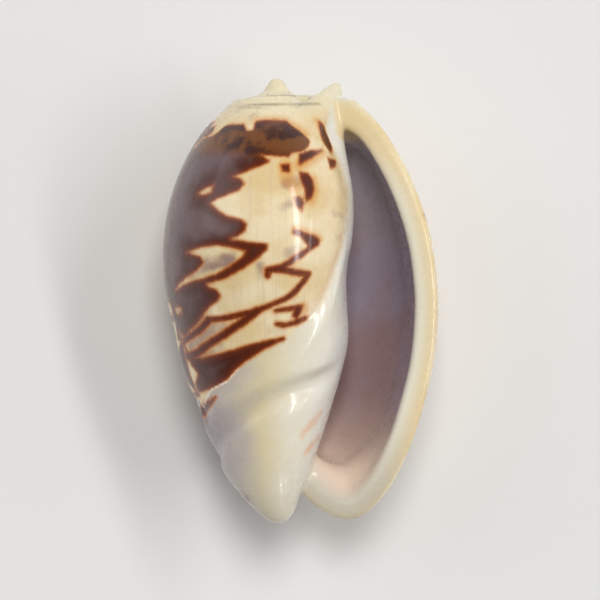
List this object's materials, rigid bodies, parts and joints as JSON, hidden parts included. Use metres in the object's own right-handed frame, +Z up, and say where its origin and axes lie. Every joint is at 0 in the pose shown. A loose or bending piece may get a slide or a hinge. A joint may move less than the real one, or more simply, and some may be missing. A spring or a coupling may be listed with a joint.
{
  "type": "olive shell",
  "caption": "Glossy olive sea shell with brown zigzag markings, a nearly flat spire, a long open aperture and a white fasciole, lying on its back.",
  "frame": {"origin": "under the middle of the shell's box, on the surface that it rests on", "axes": "+Y along the coil's axis towards the spire, +X towards the outer lip, +Z up, out of the aperture"},
  "size_m": [0.031, 0.05, 0.0253],
  "materials": {
    "shell": "polished"
  },
  "bodies": {
    "root": {"shell": "shell"}
  },
  "joints": []
}
